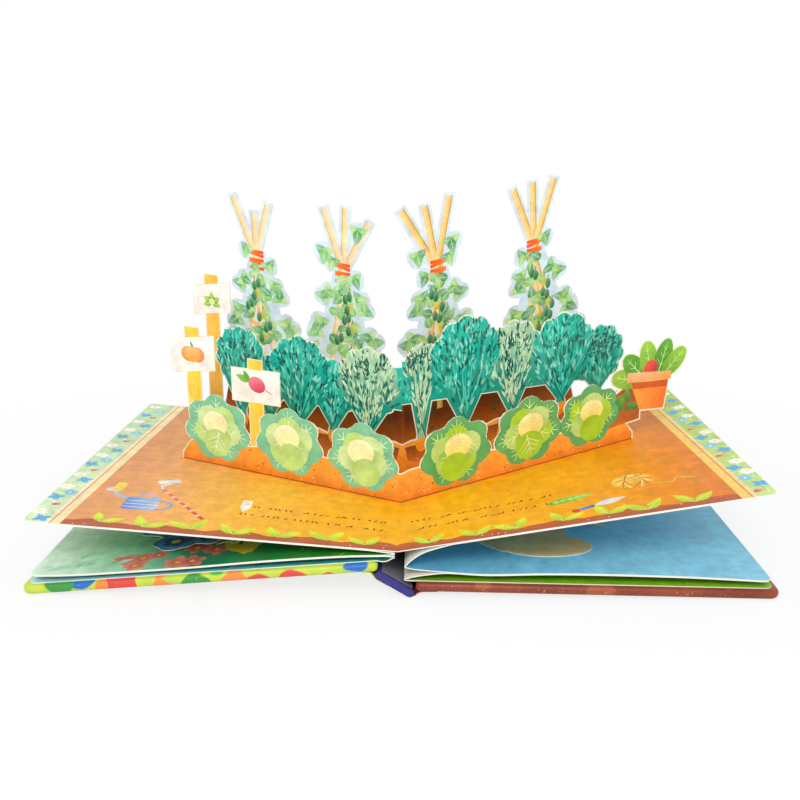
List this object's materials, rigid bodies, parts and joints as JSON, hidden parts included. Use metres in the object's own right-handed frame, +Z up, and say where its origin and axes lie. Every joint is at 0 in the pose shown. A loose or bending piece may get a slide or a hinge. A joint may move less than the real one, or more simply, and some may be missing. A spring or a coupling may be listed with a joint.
{
  "type": "pop-up book",
  "caption": "Hardcover pop-up book lying open, its covers hinged on a flat spine board, with glued card spreads and standing die-cut rows of a vegetable garden.",
  "frame": {"origin": "on the table under the gutter, at the middle of the book's height and halfway between the two covers' fore-edges", "axes": "+X to the right across the open spread, +Y from the reader to the back of the spread, +Z up"},
  "size_m": [0.4188, 0.268, 0.2238],
  "materials": {
    "cover_front": "padded board with a printed satin wrap, edges rounded",
    "cover_back": "padded board with a printed satin wrap, edges rounded",
    "spine_cover": "board with a dark printed wrap",
    "lining": "grey lining paper, matt",
    "hinge_front": "printed wrap paper folded into the joint",
    "hinge_back": "printed wrap paper folded into the joint",
    "endpaper_front": "printed paper, satin",
    "endpaper_back": "printed paper, satin",
    "page_card": "printed folding card, white core at the cut edges, satin",
    "row_front_card": "die-cut printed card, satin front, white back",
    "row_middle_card": "die-cut printed card, satin front, white back",
    "row_rear_card": "die-cut printed card, satin front, white back",
    "sign_card": "die-cut printed card, satin front, white back",
    "blue_card": "die-cut printed card",
    "green_card": "die-cut printed card",
    "tan_card": "die-cut printed card"
  },
  "bodies": {
    "block": {"pages": "page_card", "spine_board": "spine_cover", "spine_lining": "lining", "front_hinge_strip": "hinge_front", "back_hinge_strip": "hinge_back", "front_row": "row_front_card", "middle_row": "row_middle_card", "rear_row": "row_rear_card", "tall_sign": "sign_card", "left_sign": "sign_card", "front_sign": "sign_card", "folded_blooms_two": "blue_card", "folded_leaves_two": "green_card", "folded_card_four": "tan_card", "folded_tongue_four": "tan_card"},
    "front_cover": {"front_cover": "cover_front", "front_pastedown": "endpaper_front", "folded_card_one": "blue_card"},
    "back_cover": {"back_cover": "cover_back", "back_pastedown": "endpaper_back", "folded_card_five": "green_card"}
  },
  "joints": [
    {"name": "front_cover_hinge", "type": "hinge", "parent": "block", "child": "front_cover", "pos_m": [-0.0134, 0, 0.013], "axis": [0, -1, 0], "range_deg": [0, 55]},
    {"name": "back_cover_hinge", "type": "hinge", "parent": "block", "child": "back_cover", "pos_m": [0.0099, 0, 0.002], "axis": [0, 1, 0], "range_deg": [0, 120]}
  ]
}
